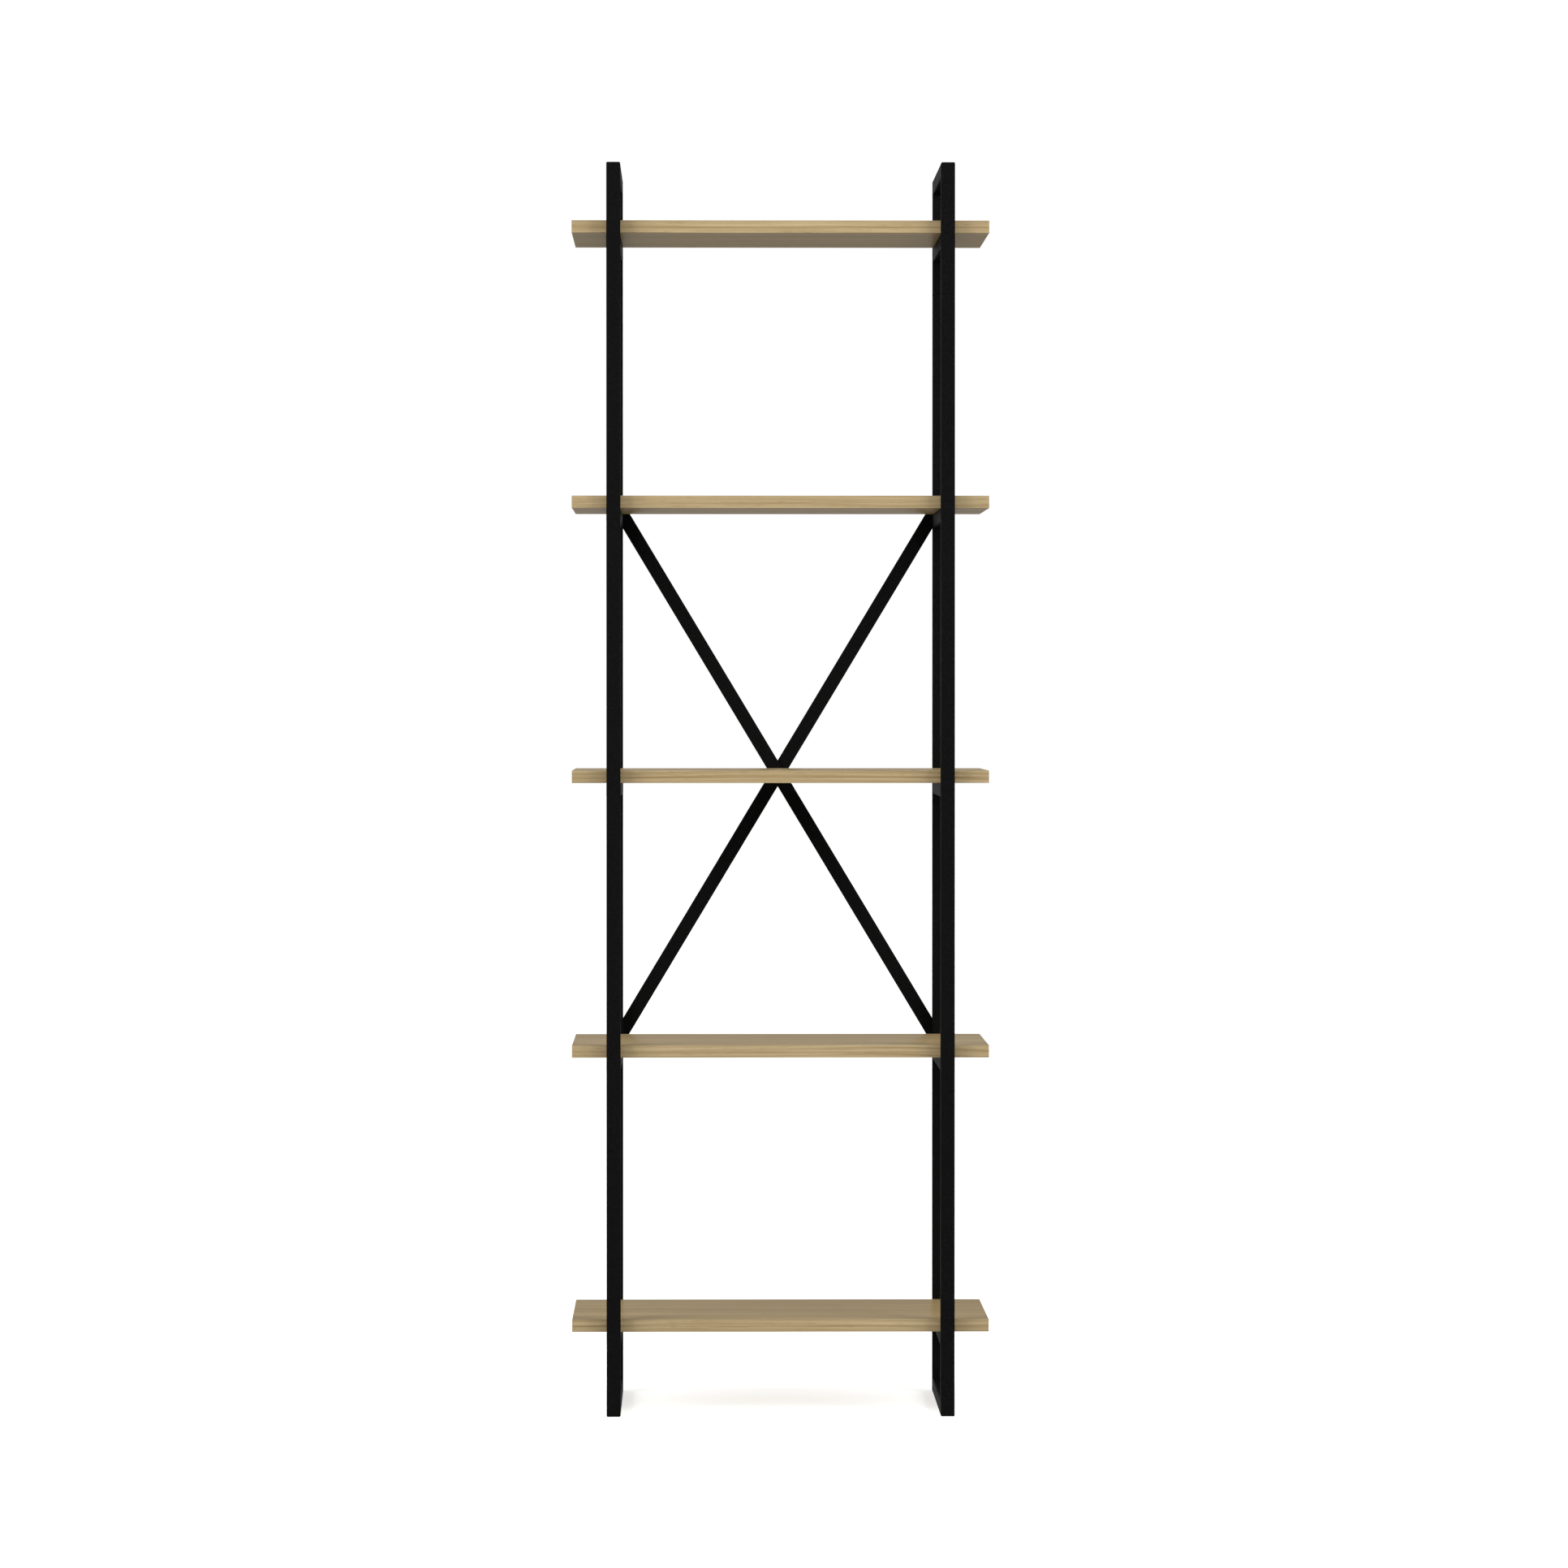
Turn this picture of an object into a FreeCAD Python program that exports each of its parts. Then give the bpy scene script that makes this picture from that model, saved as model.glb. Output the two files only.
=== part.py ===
import FreeCAD, Part
import os
import re
import Sketcher

# An open bookcase. Two welded side frames of square steel tube carry five decor boards
# that reach past the frames at both ends, and two crossed flat bars on the rear posts
# keep it square. Millimetres, +X to the right, +Y to the rear, +Z up. The origin is on
# the floor, under the middle of the overall box.

# Driving dimensions: alias, value, what it measures.
SIZES = [
    ("frame_height", 1800, "side frame, floor to top"),
    ("frame_width", 500, "over both side frames"),
    ("frame_depth", 340, "side frame, front to rear"),
    ("tube_side", 20, "square tube, outside"),
    ("tube_wall", 1.5, "square tube, wall"),
    ("tube_corner", 1.8, "square tube, outer corner radius"),
    ("cut_margin", 2, "how far a cutting outline runs past the piece"),
    ("shelf_count", 5, "shelves"),
    ("rail_low", 100, "floor to the underside of the lowest shelf rail"),
    ("rail_pitch", 395, "one shelf rail to the next"),
    ("shelf_length", 600, "shelf over its end bands"),
    ("shelf_thick", 18, "shelf board"),
    ("shelf_gap", 0.5, "shelf to post, front and rear"),
    ("band_thick", 1, "edge band"),
    ("band_round", 0.5, "outer edges of an edge band"),
    ("screw_size", 4, "shelf screw, thread"),
    ("screw_length", 35, "shelf screw, under the head"),
    ("screw_head", 8, "shelf screw, head diameter"),
    ("screw_head_tall", 2.6, "shelf screw, head height"),
    ("screw_crown", 4.8, "shelf screw, flat on the head"),
    ("screw_play", 0.5, "hole through a rail, over the thread"),
    ("pilot_play", 0.1, "hole in a board, over the thread"),
    ("pilot_spare", 0.5, "hole in a board, past the screw"),
    ("brace_low", 520, "floor to the lower screws of the brace"),
    ("brace_rise", 800, "lower to upper screws of the brace"),
    ("brace_wide", 20, "flat bar"),
    ("brace_thick", 3, "flat bar"),
    ("joggle_flat", 44, "offset length of the joggled bar at the crossing"),
    ("joggle_slope", 14, "length of each slope of the joggle"),
    ("joggle_bend", 3, "inside radius of each bend of the joggle"),
    ("bolt_size", 6, "brace screw, thread"),
    ("bolt_play", 0.5, "hole through a bar, over the thread"),
    ("bolt_length", 12, "brace screw, under the head"),
    ("bolt_head", 10.5, "brace screw, head diameter"),
    ("bolt_head_tall", 3.3, "brace screw, head height"),
    ("bolt_crown", 5.8, "brace screw, flat on the head"),
    ("bolt_dome", 5.6, "brace screw, radius of the head"),
    ("bolt_socket", 4, "brace screw, hexagon socket across flats"),
    ("bolt_socket_deep", 2, "brace screw, depth of the socket"),
    ("thread_play", 0.1, "bore of a nut, over the thread"),
    ("rivet_body", 9, "rivet nut, barrel"),
    ("rivet_head", 10.5, "rivet nut, countersunk head"),
    ("rivet_long", 11, "rivet nut, head to far end"),
    ("rivet_bulge", 12, "rivet nut, collar upset behind the wall"),
    ("rivet_collar", 3, "rivet nut, length of the collar"),
    ("nut_flats", 10, "nut across flats"),
    ("nut_tall", 5, "nut height"),
    ("nut_slope", 0.8, "nut, height of the sloped corners"),
]

# Places that several pieces share, in the sheet's words. The screw heads behind the
# brace set the frames a little forward of the middle of the overall box.
MIDDLE_Y = "(0 - (brace_thick + bolt_head_tall) / 2)"
FRONT_Y = f"({MIDDLE_Y} - frame_depth / 2)"
REAR_Y = f"({MIDDLE_Y} + frame_depth / 2)"
BAY_DEPTH = "(frame_depth - 2 * tube_side)"
SHELF_DEPTH = f"({BAY_DEPTH} - 2 * shelf_gap)"
FRAME_X = "((frame_width - tube_side) / 2)"
BRACE_HALF = f"(sqrt(({FRAME_X} * 2) ^ 2 + brace_rise ^ 2) / 2)"
BRACE_MIDDLE_Z = "(brace_low + brace_rise / 2)"

# Sketch references: a geometry's points, and a sketch's own origin and axes.
START = 1
END = 2
CENTRE = 3
ORIGIN = -1
X_AXIS = -1
Y_AXIS = -2

AROUND_X = FreeCAD.Vector(1, 0, 0)
AROUND_Y = FreeCAD.Vector(0, 1, 0)
AROUND_Z = FreeCAD.Vector(0, 0, 1)
TINY = 1e-6

doc = FreeCAD.newDocument("bookcase")
sheet = doc.addObject("Spreadsheet::Sheet", "Sizes")
for row, (alias, size, meaning) in enumerate(SIZES, start=1):
    sheet.set(f"A{row}", meaning)
    sheet.set(f"B{row}", str(size))
    sheet.setAlias(f"B{row}", alias)
doc.recompute()

ALIAS = re.compile(r"\b(" + "|".join(alias for alias, size, meaning in SIZES) + r")\b")
sub_parts = []


def spelled(formula):
    """The formula with each alias as a cell of the sheet."""
    return ALIAS.sub(r"Sizes.\1", formula)


def worth(formula):
    """The formula's value now."""
    return float(sheet.evalExpression(spelled(formula)))


def bind(thing, target, formula):
    """Drives a property or constraint by a formula in the sheet's aliases."""
    thing.setExpression(target, spelled(formula))


def new_body(name):
    """An empty body for one sub-part."""
    return doc.addObject("PartDesign::Body", name)


def seat(thing, x, y, z, axis=AROUND_Z, angle=0):
    """Turns a piece about an axis and puts its own origin at a place."""
    thing.Placement = FreeCAD.Placement(FreeCAD.Vector(), FreeCAD.Rotation(axis, angle))
    for letter, formula in zip("xyz", (x, y, z)):
        bind(thing, f"Placement.Base.{letter}", formula)


def finish(thing):
    """Counts a finished object as a sub-part of the bookcase."""
    doc.recompute()
    sub_parts.append(thing)


def sketch_on(body, name, role, offset="0"):
    """A sketch on one of the body's own origin planes, moved along the plane's normal."""
    sketch = body.newObject("Sketcher::SketchObject", name)
    plane = next(item for item in body.Origin.OriginFeatures if item.Role == role)
    sketch.AttachmentSupport = [(plane, "")]
    sketch.MapMode = "FlatFace"
    bind(sketch, "AttachmentOffset.Base.z", offset)
    return sketch


def place_point(sketch, geometry, point, place):
    """Holds a point of the sketch at a place given by two formulas."""
    for kind, zero_line, formula in zip(("DistanceX", "DistanceY"), (Y_AXIS, X_AXIS), place):
        if formula == "0":
            sketch.addConstraint(Sketcher.Constraint("PointOnObject", geometry, point, zero_line))
            continue
        held = Sketcher.Constraint(kind, ORIGIN, START, geometry, point, worth(formula))
        bind(sketch, f"Constraints[{sketch.addConstraint(held)}]", formula)


def hold_radius(sketch, geometry, formula):
    """Holds the radius of an arc or circle."""
    held = Sketcher.Constraint("Radius", geometry, worth(formula))
    bind(sketch, f"Constraints[{sketch.addConstraint(held)}]", formula)


def outward_arc(start, end, radius):
    """An arc from start to end that bulges to the right of the way."""
    chord = end - start
    rise = radius - (radius**2 - (chord.Length / 2) ** 2) ** 0.5
    outward = FreeCAD.Vector(chord.y, -chord.x, 0).normalize()
    return Part.Arc(start, (start + end) / 2 + outward * rise, end)


def draw_outline(sketch, corners, domes=None):
    """A closed anticlockwise outline; domes gives the radius of each side that is an arc."""
    domes = domes or {}
    points = [FreeCAD.Vector(worth(x), worth(y), 0) for x, y in corners]
    first = sketch.GeometryCount
    for number, (start, end) in enumerate(zip(points, points[1:] + points[:1])):
        if number in domes:
            sketch.addGeometry(outward_arc(start, end, worth(domes[number])))
        else:
            sketch.addGeometry(Part.LineSegment(start, end))
    for number, corner in enumerate(corners):
        following = first + (number + 1) % len(corners)
        sketch.addConstraint(Sketcher.Constraint("Coincident", first + number, END, following, START))
        place_point(sketch, first + number, START, corner)
    for number, radius in domes.items():
        hold_radius(sketch, first + number, radius)


def draw_rectangle(sketch, low, high):
    """A rectangle from its low corner to its high corner."""
    draw_outline(sketch, [low, (high[0], low[1]), high, (low[0], high[1])])


def draw_circle(sketch, place, diameter):
    """A circle at a place."""
    centre = FreeCAD.Vector(worth(place[0]), worth(place[1]), 0)
    ring = sketch.addGeometry(Part.Circle(centre, AROUND_Z, worth(diameter) / 2))
    place_point(sketch, ring, CENTRE, place)
    hold_radius(sketch, ring, f"({diameter}) / 2")


def draw_rounded_square(sketch, side, radius):
    """A square about the sketch's origin with four equal round corners."""
    half = worth(side) / 2
    round_off = worth(radius)
    first = sketch.GeometryCount
    quarter = FreeCAD.Rotation(AROUND_Z, 90)
    edge_start = FreeCAD.Vector(-half + round_off, -half, 0)
    edge_end = FreeCAD.Vector(half - round_off, -half, 0)
    for number in range(4):
        next_start = quarter.multVec(edge_start)
        centre = edge_end + quarter.multVec(edge_end - edge_start).normalize() * round_off
        middle = centre + ((edge_end + next_start) / 2 - centre).normalize() * round_off
        sketch.addGeometry(Part.LineSegment(edge_start, edge_end))
        sketch.addGeometry(Part.Arc(edge_end, middle, next_start))
        edge_start, edge_end = next_start, quarter.multVec(edge_end)
    lines = [first + 2 * number for number in range(4)]
    for number, line in enumerate(lines):
        corner = line + 1
        following = lines[(number + 1) % 4]
        sketch.addConstraint(Sketcher.Constraint("Tangent", line, END, corner, START))
        sketch.addConstraint(Sketcher.Constraint("Tangent", corner, END, following, START))
        sketch.addConstraint(Sketcher.Constraint("Vertical" if number % 2 else "Horizontal", line))
        if number:
            sketch.addConstraint(Sketcher.Constraint("Equal", first + 1, corner))
    hold_radius(sketch, first + 1, radius)
    sketch.addConstraint(Sketcher.Constraint("Symmetric", lines[0], START, lines[2], START, ORIGIN, START))
    for kind, line, other in (("DistanceX", lines[3], lines[1]), ("DistanceY", lines[0], lines[2])):
        across = Sketcher.Constraint(kind, line, END, other, START, worth(side))
        bind(sketch, f"Constraints[{sketch.addConstraint(across)}]", side)


def draw_slot(sketch, half, width):
    """A full-round outline about two centres at plus and minus half on the X axis."""
    reach = worth(half)
    radius = worth(width) / 2
    top, right, bottom, left = range(sketch.GeometryCount, sketch.GeometryCount + 4)
    up = FreeCAD.Vector(0, radius, 0)
    far = FreeCAD.Vector(reach, 0, 0)
    out = FreeCAD.Vector(radius, 0, 0)
    sketch.addGeometry(Part.LineSegment(-far + up, far + up))
    sketch.addGeometry(Part.Arc(far - up, far + out, far + up))
    sketch.addGeometry(Part.LineSegment(far - up, -far - up))
    sketch.addGeometry(Part.Arc(-far + up, -far - out, -far - up))
    for line, line_end, arc, arc_end in (
        (top, END, right, END),
        (bottom, START, right, START),
        (bottom, END, left, END),
        (top, START, left, START),
    ):
        sketch.addConstraint(Sketcher.Constraint("Tangent", line, line_end, arc, arc_end))
    sketch.addConstraint(Sketcher.Constraint("Equal", right, left))
    place_point(sketch, right, CENTRE, (half, "0"))
    place_point(sketch, left, CENTRE, (f"0 - {half}", "0"))
    hold_radius(sketch, right, f"{width} / 2")


def pad(body, sketch, length, both_ways=False):
    """Thickens a sketch into a solid."""
    feature = body.newObject("PartDesign::Pad", "Pad")
    feature.Profile = sketch
    feature.SideType = "Symmetric" if both_ways else "One side"
    bind(feature, "Length", length)
    doc.recompute()
    return feature


def cut(body, sketch, depth=None, reverse=False):
    """Cuts a sketch into the solid: to a depth, or right through both ways. The cut is measured."""
    before = body.Shape.Volume
    feature = body.newObject("PartDesign::Pocket", "Pocket")
    feature.Profile = sketch
    feature.Reversed = reverse
    if depth:
        bind(feature, "Length", depth)
    else:
        feature.SideType = "Symmetric"
        feature.Type = "ThroughAll"
    doc.recompute()
    if body.Shape.Volume > before - TINY:
        raise RuntimeError(f"{body.Label}: {sketch.Label} cuts nothing")
    return feature


def turn(body, corners, domes=None):
    """Revolves a half section, drawn as radius and height, about Z."""
    sketch = sketch_on(body, "HalfSection", "XZ_Plane")
    draw_outline(sketch, corners, domes)
    feature = body.newObject("PartDesign::Revolution", "Turned")
    feature.Profile = sketch
    feature.ReferenceAxis = (sketch, ["V_Axis"])
    feature.Angle = 360
    doc.recompute()
    return feature


def round_edges(body, feature, radius, wanted):
    """Rounds the edges of a feature that the test picks."""
    names = [f"Edge{number}" for number, edge in enumerate(feature.Shape.Edges, start=1) if wanted(edge)]
    fillet = body.newObject("PartDesign::Fillet", "Rounded")
    fillet.Base = (feature, names)
    bind(fillet, "Radius", radius)
    doc.recompute()
    return fillet


def group(name, master, places, axis=AROUND_Z, angle=0):
    """One sub-part of several like solids, each a copy of the master at its place."""
    copies = []
    for number, place in enumerate(places, start=1):
        copy = doc.addObject("App::Link", f"{name}_{number}")
        copy.LinkedObject = master
        seat(copy, *place, axis, angle)
        copies.append(copy)
    together = doc.addObject("Part::Compound", name)
    together.Links = copies
    finish(together)


def tube(name, length, mitred=False):
    """A square tube along Z. Mitred ends slope at 45 degrees, and leave the +Y side the shorter."""
    body = new_body(name)
    section = sketch_on(body, "Section", "XY_Plane")
    draw_rounded_square(section, "tube_side", "tube_corner")
    bore = "(tube_side / 2 - tube_wall)"
    draw_rectangle(section, (f"0 - {bore}", f"0 - {bore}"), (bore, bore))
    pad(body, section, length)
    if mitred:
        near = "(0 - tube_side / 2 - cut_margin)"
        far = "(tube_side / 2 + cut_margin)"
        ends = sketch_on(body, "Mitres", "YZ_Plane")
        draw_outline(ends, [(near, "0 - cut_margin"), (far, "0 - cut_margin"), (far, "tube_side + cut_margin")])
        above = f"{length} + cut_margin"
        draw_outline(ends, [(near, above), (far, f"{length} - tube_side - cut_margin"), (far, above)])
        cut(body, ends)
    return body


def front_post(name, x):
    """An upright at the front of a side frame, mitred into the rails at top and bottom."""
    body = tube(name, "frame_height", mitred=True)
    seat(body, x, f"{FRONT_Y} + tube_side / 2", "0")
    finish(body)


def rear_post(name, x):
    """An upright at the rear, with two countersunk holes in its rear wall for the brace's rivet nuts."""
    body = tube(name, "frame_height", mitred=True)
    seats = sketch_on(body, "RivetSeats", "XZ_Plane", "tube_side / 2")
    for height in ("brace_low", "brace_low + brace_rise"):
        draw_circle(seats, ("0", height), "rivet_body")
    doc.recompute()
    before = body.Shape.Volume
    hole = body.newObject("PartDesign::Hole", "RivetHoles")
    hole.Profile = seats
    hole.DepthType = "Dimension"
    hole.DrillPoint = "Flat"
    hole.HoleCutType = "Countersink"
    hole.HoleCutCustomValues = True
    hole.HoleCutCountersinkAngle = 90
    bind(hole, "Diameter", "rivet_body")
    bind(hole, "Depth", "2 * tube_wall")
    bind(hole, "HoleCutDiameter", "rivet_head")
    doc.recompute()
    if body.Shape.Volume > before - TINY:
        raise RuntimeError(f"{name}: the rivet holes cut nothing")
    seat(body, x, f"{REAR_Y} - tube_side / 2", "0", AROUND_Z, 180)
    finish(body)


def end_rail(name, x, z, angle, start_y):
    """The top or bottom tube of a side frame, mitred into both posts."""
    body = tube(name, "frame_depth", mitred=True)
    seat(body, x, start_y, z, AROUND_X, angle)
    finish(body)


def shelf_rail(name, x, z):
    """A tube between the posts under a shelf, drilled through its middle for the screw."""
    body = tube(name, BAY_DEPTH)
    hole = sketch_on(body, "ScrewHole", "XZ_Plane")
    draw_circle(hole, ("0", f"{BAY_DEPTH} / 2"), "screw_size + screw_play")
    cut(body, hole)
    seat(body, x, f"{FRONT_Y} + tube_side", z, AROUND_X, -90)
    finish(body)


def rail_bottom(number):
    """Height of the underside of a shelf's rails; shelf 1 is the lowest."""
    return f"(rail_low + {number - 1} * rail_pitch)"


def side_frame(side, x):
    """One welded frame: two posts, a top and a bottom rail, and a rail under each shelf."""
    front_post(f"{side}_front_post", x)
    rear_post(f"{side}_rear_post", x)
    end_rail(f"{side}_bottom_rail", x, "tube_side / 2", 90, REAR_Y)
    end_rail(f"{side}_top_rail", x, "frame_height - tube_side / 2", -90, FRONT_Y)
    for number in range(1, int(worth("shelf_count")) + 1):
        shelf_rail(f"{side}_shelf_rail_{number}", x, f"{rail_bottom(number)} + tube_side / 2")


def edge_band(name, length, round_ends, place, angle):
    """A glued strip along X with its outer face at y = 0; the edges of that face are rounded."""
    body = new_body(name)
    strip = sketch_on(body, "Strip", "XY_Plane")
    draw_rectangle(strip, (f"0 - {length} / 2", "0"), (f"{length} / 2", "band_thick"))
    solid = pad(body, strip, "shelf_thick")

    def outer(edge):
        box = edge.BoundBox
        return box.YMax < TINY and (round_ends or box.XLength > TINY)

    round_edges(body, solid, "band_round", outer)
    seat(body, *place, AROUND_Z, angle)
    finish(body)


def shelf(number):
    """A board with four edge bands. The long bands cover the ends of the short ones."""
    bottom = f"({rail_bottom(number)} + tube_side)"
    half_long = "(shelf_length / 2)"
    half_deep = f"({SHELF_DEPTH} / 2)"
    board = new_body(f"shelf_{number}_board")
    core = sketch_on(board, "Core", "XY_Plane")
    core_x = f"({half_long} - band_thick)"
    core_y = f"({half_deep} - band_thick)"
    draw_rectangle(core, (f"0 - {core_x}", f"0 - {core_y}"), (core_x, core_y))
    pad(board, core, "shelf_thick")
    pilots = sketch_on(board, "Pilots", "XY_Plane")
    for x in (f"0 - {FRAME_X}", FRAME_X):
        draw_circle(pilots, (x, "0"), "screw_size + pilot_play")
    cut(board, pilots, "screw_length - tube_side + pilot_spare", reverse=True)
    seat(board, "0", MIDDLE_Y, bottom)
    finish(board)
    front = ("0", f"{MIDDLE_Y} - {half_deep}", bottom)
    rear = ("0", f"{MIDDLE_Y} + {half_deep}", bottom)
    edge_band(f"shelf_{number}_front_band", "shelf_length", True, front, 0)
    edge_band(f"shelf_{number}_rear_band", "shelf_length", True, rear, 180)
    short = f"({SHELF_DEPTH} - 2 * band_thick)"
    edge_band(f"shelf_{number}_left_band", short, False, (f"0 - {half_long}", MIDDLE_Y, bottom), -90)
    edge_band(f"shelf_{number}_right_band", short, False, (half_long, MIDDLE_Y, bottom), 90)


def shelf_screw():
    """A pan-head screw along Z, its head under z = 0."""
    body = new_body("shelf_screw")
    turn(
        body,
        [
            ("0", "0 - screw_head_tall"),
            ("screw_crown / 2", "0 - screw_head_tall"),
            ("screw_head / 2", "0"),
            ("screw_size / 2", "0"),
            ("screw_size / 2", "screw_length"),
            ("0", "screw_length"),
        ],
    )
    return body


def shelf_screws(number, master):
    """The two screws of a shelf, one through each of its rails; the posts keep the board from turning."""
    places = [(x, MIDDLE_Y, rail_bottom(number)) for x in (f"0 - {FRAME_X}", FRAME_X)]
    group(f"shelf_{number}_screws", master, places)


def brace_bar(name, lean, joggled):
    """A flat bar along its own X with full-round ends, its front face on the posts at y = 0.

    The joggled bar steps forward by its own thickness at the crossing, so that it passes
    the straight one and the ends of both lie flat on the posts.
    """
    body = new_body(name)
    end = f"({BRACE_HALF} + brace_wide / 2 + cut_margin)"
    side_view = sketch_on(body, "SideView", "XY_Plane")
    if joggled:
        flat = "(joggle_flat / 2)"
        slope = "(joggle_flat / 2 + joggle_slope)"
        skew = "(sqrt(joggle_slope ^ 2 + brace_thick ^ 2) - joggle_slope)"
        front = [(end, "0"), (f"{slope} + {skew}", "0"), (f"{flat} + {skew}", "0 - brace_thick")]
        rear = [(end, "brace_thick"), (slope, "brace_thick"), (flat, "0")]
        left_front = [(f"0 - ({x})", y) for x, y in front]
        left_rear = [(f"0 - ({x})", y) for x, y in rear]
        draw_outline(side_view, left_front + front[::-1] + rear + left_rear[::-1])
    else:
        draw_rectangle(side_view, (f"0 - {end}", "0"), (end, "brace_thick"))
    solid = pad(body, side_view, "brace_wide", both_ways=True)
    if joggled:
        thick = worth("brace_thick")
        before_end = worth(BRACE_HALF)

        def bend_at(offset):
            def chosen(edge):
                box = edge.BoundBox
                across = box.XLength < TINY and box.YLength < TINY
                return across and abs(box.XMax) < before_end and abs(abs(box.YMax) - offset) < TINY

            return chosen

        solid = round_edges(body, solid, "joggle_bend", bend_at(0))
        round_edges(body, solid, "joggle_bend + brace_thick", bend_at(thick))
    ends = sketch_on(body, "Ends", "XZ_Plane")
    wide = "(brace_wide / 2 + cut_margin)"
    past = f"({end} + cut_margin)"
    draw_rectangle(ends, (f"0 - {past}", f"0 - {wide}"), (past, wide))
    draw_slot(ends, BRACE_HALF, "brace_wide")
    cut(body, ends)
    holes = sketch_on(body, "Holes", "XZ_Plane")
    for x in (f"0 - {BRACE_HALF}", "0", BRACE_HALF):
        draw_circle(holes, (x, "0"), "bolt_size + bolt_play")
    cut(body, holes)
    seat(body, "0", REAR_Y, BRACE_MIDDLE_Z, -AROUND_Y, 90)
    bind(body, "Placement.Rotation.Angle", f"90 {lean} atan({FRAME_X} * 2 / brace_rise) / 1 deg")
    finish(body)


def brace_screw():
    """A button-head screw along Z, its head above z = 0, with a hexagon socket."""
    body = new_body("brace_screw")
    turn(
        body,
        [
            ("0", "0 - bolt_length"),
            ("bolt_size / 2", "0 - bolt_length"),
            ("bolt_size / 2", "0"),
            ("bolt_head / 2", "0"),
            ("bolt_crown / 2", "bolt_head_tall"),
            ("0", "bolt_head_tall"),
        ],
        {3: "bolt_dome"},
    )
    socket = body.newObject("PartDesign::SubtractivePrism", "Socket")
    socket.Polygon = 6
    bind(socket, "Circumradius", "bolt_socket / sqrt(3)")
    bind(socket, "Height", "bolt_socket_deep")
    bind(socket, "AttachmentOffset.Base.z", "bolt_head_tall - bolt_socket_deep")
    doc.recompute()
    return body


def rivet_nut():
    """A blind rivet nut along Z, its countersunk head flush at z = 0 and its collar behind the wall."""
    body = new_body("rivet_nut")
    bore = "(bolt_size + thread_play) / 2"
    collar_end = "(tube_wall + rivet_collar)"
    collar_foot = f"({collar_end} + (rivet_bulge - rivet_body) / 2)"
    turn(
        body,
        [
            (bore, "0 - rivet_long"),
            ("rivet_body / 2", "0 - rivet_long"),
            ("rivet_body / 2", f"0 - {collar_foot}"),
            ("rivet_bulge / 2", f"0 - {collar_end}"),
            ("rivet_bulge / 2", "0 - tube_wall"),
            ("rivet_body / 2", "0 - tube_wall"),
            ("rivet_body / 2", "(rivet_body - rivet_head) / 2"),
            ("rivet_head / 2", "0"),
            (bore, "0"),
        ],
    )
    return body


def crossing_nut(name):
    """A hexagon nut on the front of the joggled bar, its corners sloped at the outer end."""
    body = new_body(name)
    block = body.newObject("PartDesign::AdditivePrism", "Hexagon")
    block.Polygon = 6
    bind(block, "Circumradius", "nut_flats / sqrt(3)")
    bind(block, "Height", "nut_tall")
    doc.recompute()
    bore = sketch_on(body, "Bore", "XY_Plane")
    draw_circle(bore, ("0", "0"), "bolt_size + thread_play")
    cut(body, bore)
    before = body.Shape.Volume
    slope = sketch_on(body, "CornerSlope", "XZ_Plane")
    reach = "(nut_flats / 2 + 2 * nut_slope)"
    draw_outline(slope, [(reach, "nut_tall - nut_slope"), (reach, "nut_tall"), ("nut_flats / 2", "nut_tall")])
    groove = body.newObject("PartDesign::Groove", "SlopedCorners")
    groove.Profile = slope
    groove.ReferenceAxis = (slope, ["V_Axis"])
    groove.Angle = 360
    doc.recompute()
    if body.Shape.Volume > before - TINY:
        raise RuntimeError(f"{name}: the corners are not sloped")
    seat(body, "0", f"{REAR_Y} - brace_thick", BRACE_MIDDLE_Z, AROUND_X, 90)
    finish(body)


def brace():
    """Two crossed flat bars with their screws and nuts."""
    brace_bar("brace_straight_bar", "-", joggled=False)
    brace_bar("brace_joggled_bar", "+", joggled=True)
    corners = []
    for x in (f"0 - {FRAME_X}", FRAME_X):
        for z in ("brace_low", "brace_low + brace_rise"):
            corners.append((x, z))
    on_posts = [(x, REAR_Y, z) for x, z in corners]
    on_bars = [(x, f"{REAR_Y} + brace_thick", z) for x, z in corners + [("0", BRACE_MIDDLE_Z)]]
    group("brace_rivet_nuts", rivet_nut(), on_posts, AROUND_X, -90)
    group("brace_screws", brace_screw(), on_bars, AROUND_X, -90)
    crossing_nut("brace_crossing_nut")


def bookcase():
    """Every sub-part of the bookcase."""
    side_frame("left", f"0 - {FRAME_X}")
    side_frame("right", FRAME_X)
    screw = shelf_screw()
    for number in range(1, int(worth("shelf_count")) + 1):
        shelf(number)
        shelf_screws(number, screw)
    brace()


def check():
    """Stops if any object failed, or a sub-part is empty or not valid."""
    doc.recompute()
    for item in doc.Objects:
        if "Invalid" in item.State or "Error" in item.State:
            raise RuntimeError(f"{item.Label} failed: {item.State}")
    for item in sub_parts:
        if item.Shape.isNull() or not item.Shape.isValid() or not item.Shape.Solids:
            raise RuntimeError(f"{item.Label} is not a sound solid")


bookcase()
check()
os.makedirs("parts", exist_ok=True)
for item in sub_parts:
    item.Shape.exportStep(f"parts/{item.Label}.step")
    print(f"{item.Label}: {len(item.Shape.Solids)} solid, {item.Shape.Volume / 1000:.2f} cm3")
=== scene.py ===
import math

import bmesh
import bpy
from mathutils import Matrix, Vector


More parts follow.
